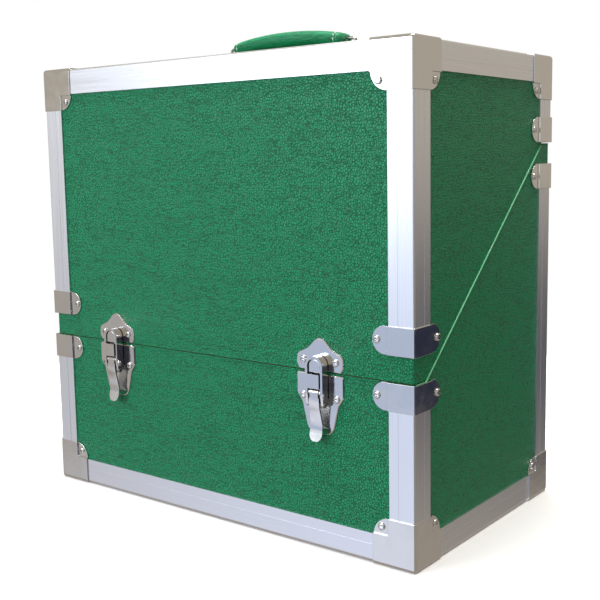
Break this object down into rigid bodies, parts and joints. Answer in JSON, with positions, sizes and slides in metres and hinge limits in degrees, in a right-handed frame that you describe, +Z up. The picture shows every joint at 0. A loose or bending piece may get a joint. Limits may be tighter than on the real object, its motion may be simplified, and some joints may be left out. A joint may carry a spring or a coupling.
{
  "type": "sewing box with trays",
  "caption": "Hard-sided sewing case with a slanted lid seam, metal edge angles and corner caps, draw latches, a top handle, and level trays that lift out as the lid opens.",
  "frame": {"origin": "bottom centre of the bounding box, on the surface the case stands on", "axes": "+X to the right seen from the front, +Y to the back, +Z up"},
  "size_m": [0.3646, 0.221, 0.3762],
  "materials": {
    "leathercloth": "green grained leathercloth",
    "board": "plain plywood board",
    "lining_cloth": "glued lining cloth",
    "aluminium": "satin extruded edge angle",
    "nickel": "bright nickel plated pressed steel",
    "steel": "zinc plated steel strip",
    "tray_board": "thin board covered with cream cloth"
  },
  "bodies": {
    "base": {"base_floor": "board", "base_front_panel": "board", "base_back_panel": "board", "base_left_panel": "board", "base_right_panel": "board", "base_cover": "leathercloth", "base_lining": "lining_cloth", "bottom_edge_front": "aluminium", "bottom_edge_back": "aluminium", "bottom_edge_left": "aluminium", "bottom_edge_right": "aluminium", "base_front_posts": "aluminium", "base_back_posts": "aluminium", "bottom_front_caps": "nickel", "bottom_back_caps": "nickel", "base_clips": "nickel", "base_screws": "nickel", "base_hinge_leaves": "nickel", "hinge_pins": "steel", "latch_plates": "nickel", "latch_pins": "steel", "arm_brackets": "steel"},
    "lid": {"lid_top_panel": "board", "lid_front_panel": "board", "lid_back_panel": "board", "lid_left_panel": "board", "lid_right_panel": "board", "lid_cover": "leathercloth", "lid_lining": "lining_cloth", "top_edge_front": "aluminium", "top_edge_back": "aluminium", "top_edge_left": "aluminium", "top_edge_right": "aluminium", "lid_front_posts": "aluminium", "lid_back_posts": "aluminium", "top_front_caps": "nickel", "top_back_caps": "nickel", "lid_clips": "nickel", "lid_screws": "nickel", "lid_hinge_leaves": "nickel", "latch_keepers": "nickel", "handle_saddles": "nickel", "lid_arms": "steel"},
    "handle": {"handle_grip": "leathercloth", "handle_rings": "steel"},
    "left_lever": {"left_latch_lever": "nickel"},
    "left_loop": {"left_latch_loop": "nickel"},
    "right_lever": {"right_latch_lever": "nickel"},
    "right_loop": {"right_latch_loop": "nickel"},
    "level_arms": {"level_arms": "steel"},
    "top_tray_body": {"top_tray": "tray_board", "top_tray_dividers": "tray_board", "top_tray_studs": "steel"},
    "middle_tray_body": {"middle_tray": "tray_board", "middle_tray_dividers": "tray_board", "middle_tray_studs": "steel"},
    "lower_tray_body": {"lower_tray": "tray_board", "lower_tray_dividers": "tray_board", "lower_tray_studs": "steel"}
  },
  "joints": [
    {"name": "lid_hinge", "type": "hinge", "parent": "base", "child": "lid", "pos_m": [0, 0.107, 0.284], "axis": [-1, 0, 0], "range_deg": [0, 92]},
    {"name": "level_arm_pivot", "type": "hinge", "parent": "base", "child": "level_arms", "pos_m": [0, 0.077, 0.264], "axis": [-1, 0, 0], "range_deg": [0, 92]},
    {"name": "top_tray_pivot", "type": "hinge", "parent": "lid", "child": "top_tray_body", "pos_m": [0, -0.0139, 0.238], "axis": [-1, 0, 0], "range_deg": [-92, 0]},
    {"name": "middle_tray_pivot", "type": "hinge", "parent": "lid", "child": "middle_tray_body", "pos_m": [0, 0.029, 0.202], "axis": [-1, 0, 0], "range_deg": [-92, 0]},
    {"name": "lower_tray_pivot", "type": "hinge", "parent": "lid", "child": "lower_tray_body", "pos_m": [0, 0.0719, 0.166], "axis": [-1, 0, 0], "range_deg": [-92, 0]},
    {"name": "left_latch_lever", "type": "hinge", "parent": "base", "child": "left_lever", "pos_m": [-0.104, -0.1071, 0.1144], "axis": [-1, 0, 0], "range_deg": [0, 90]},
    {"name": "left_latch_loop", "type": "hinge", "parent": "left_lever", "child": "left_loop", "pos_m": [-0.104, -0.1064, 0.1062], "axis": [-1, 0, 0], "range_deg": [-112.5, 0]},
    {"name": "right_latch_lever", "type": "hinge", "parent": "base", "child": "right_lever", "pos_m": [0.104, -0.1071, 0.1144], "axis": [-1, 0, 0], "range_deg": [0, 90]},
    {"name": "right_latch_loop", "type": "hinge", "parent": "right_lever", "child": "right_loop", "pos_m": [0.104, -0.1064, 0.1062], "axis": [-1, 0, 0], "range_deg": [-112.5, 0]},
    {"name": "handle_swing", "type": "hinge", "parent": "lid", "child": "handle", "pos_m": [0, 0.003, 0.355], "axis": [1, 0, 0], "range_deg": [-60, 60]}
  ],
  "couplings": [
    {"joint": "level_arm_pivot", "follows": "lid_hinge", "ratio": 1},
    {"joint": "top_tray_pivot", "follows": "lid_hinge", "ratio": -1},
    {"joint": "middle_tray_pivot", "follows": "lid_hinge", "ratio": -1},
    {"joint": "lower_tray_pivot", "follows": "lid_hinge", "ratio": -1},
    {"joint": "left_latch_loop", "follows": "left_latch_lever", "ratio": -1.25},
    {"joint": "right_latch_loop", "follows": "right_latch_lever", "ratio": -1.25}
  ]
}
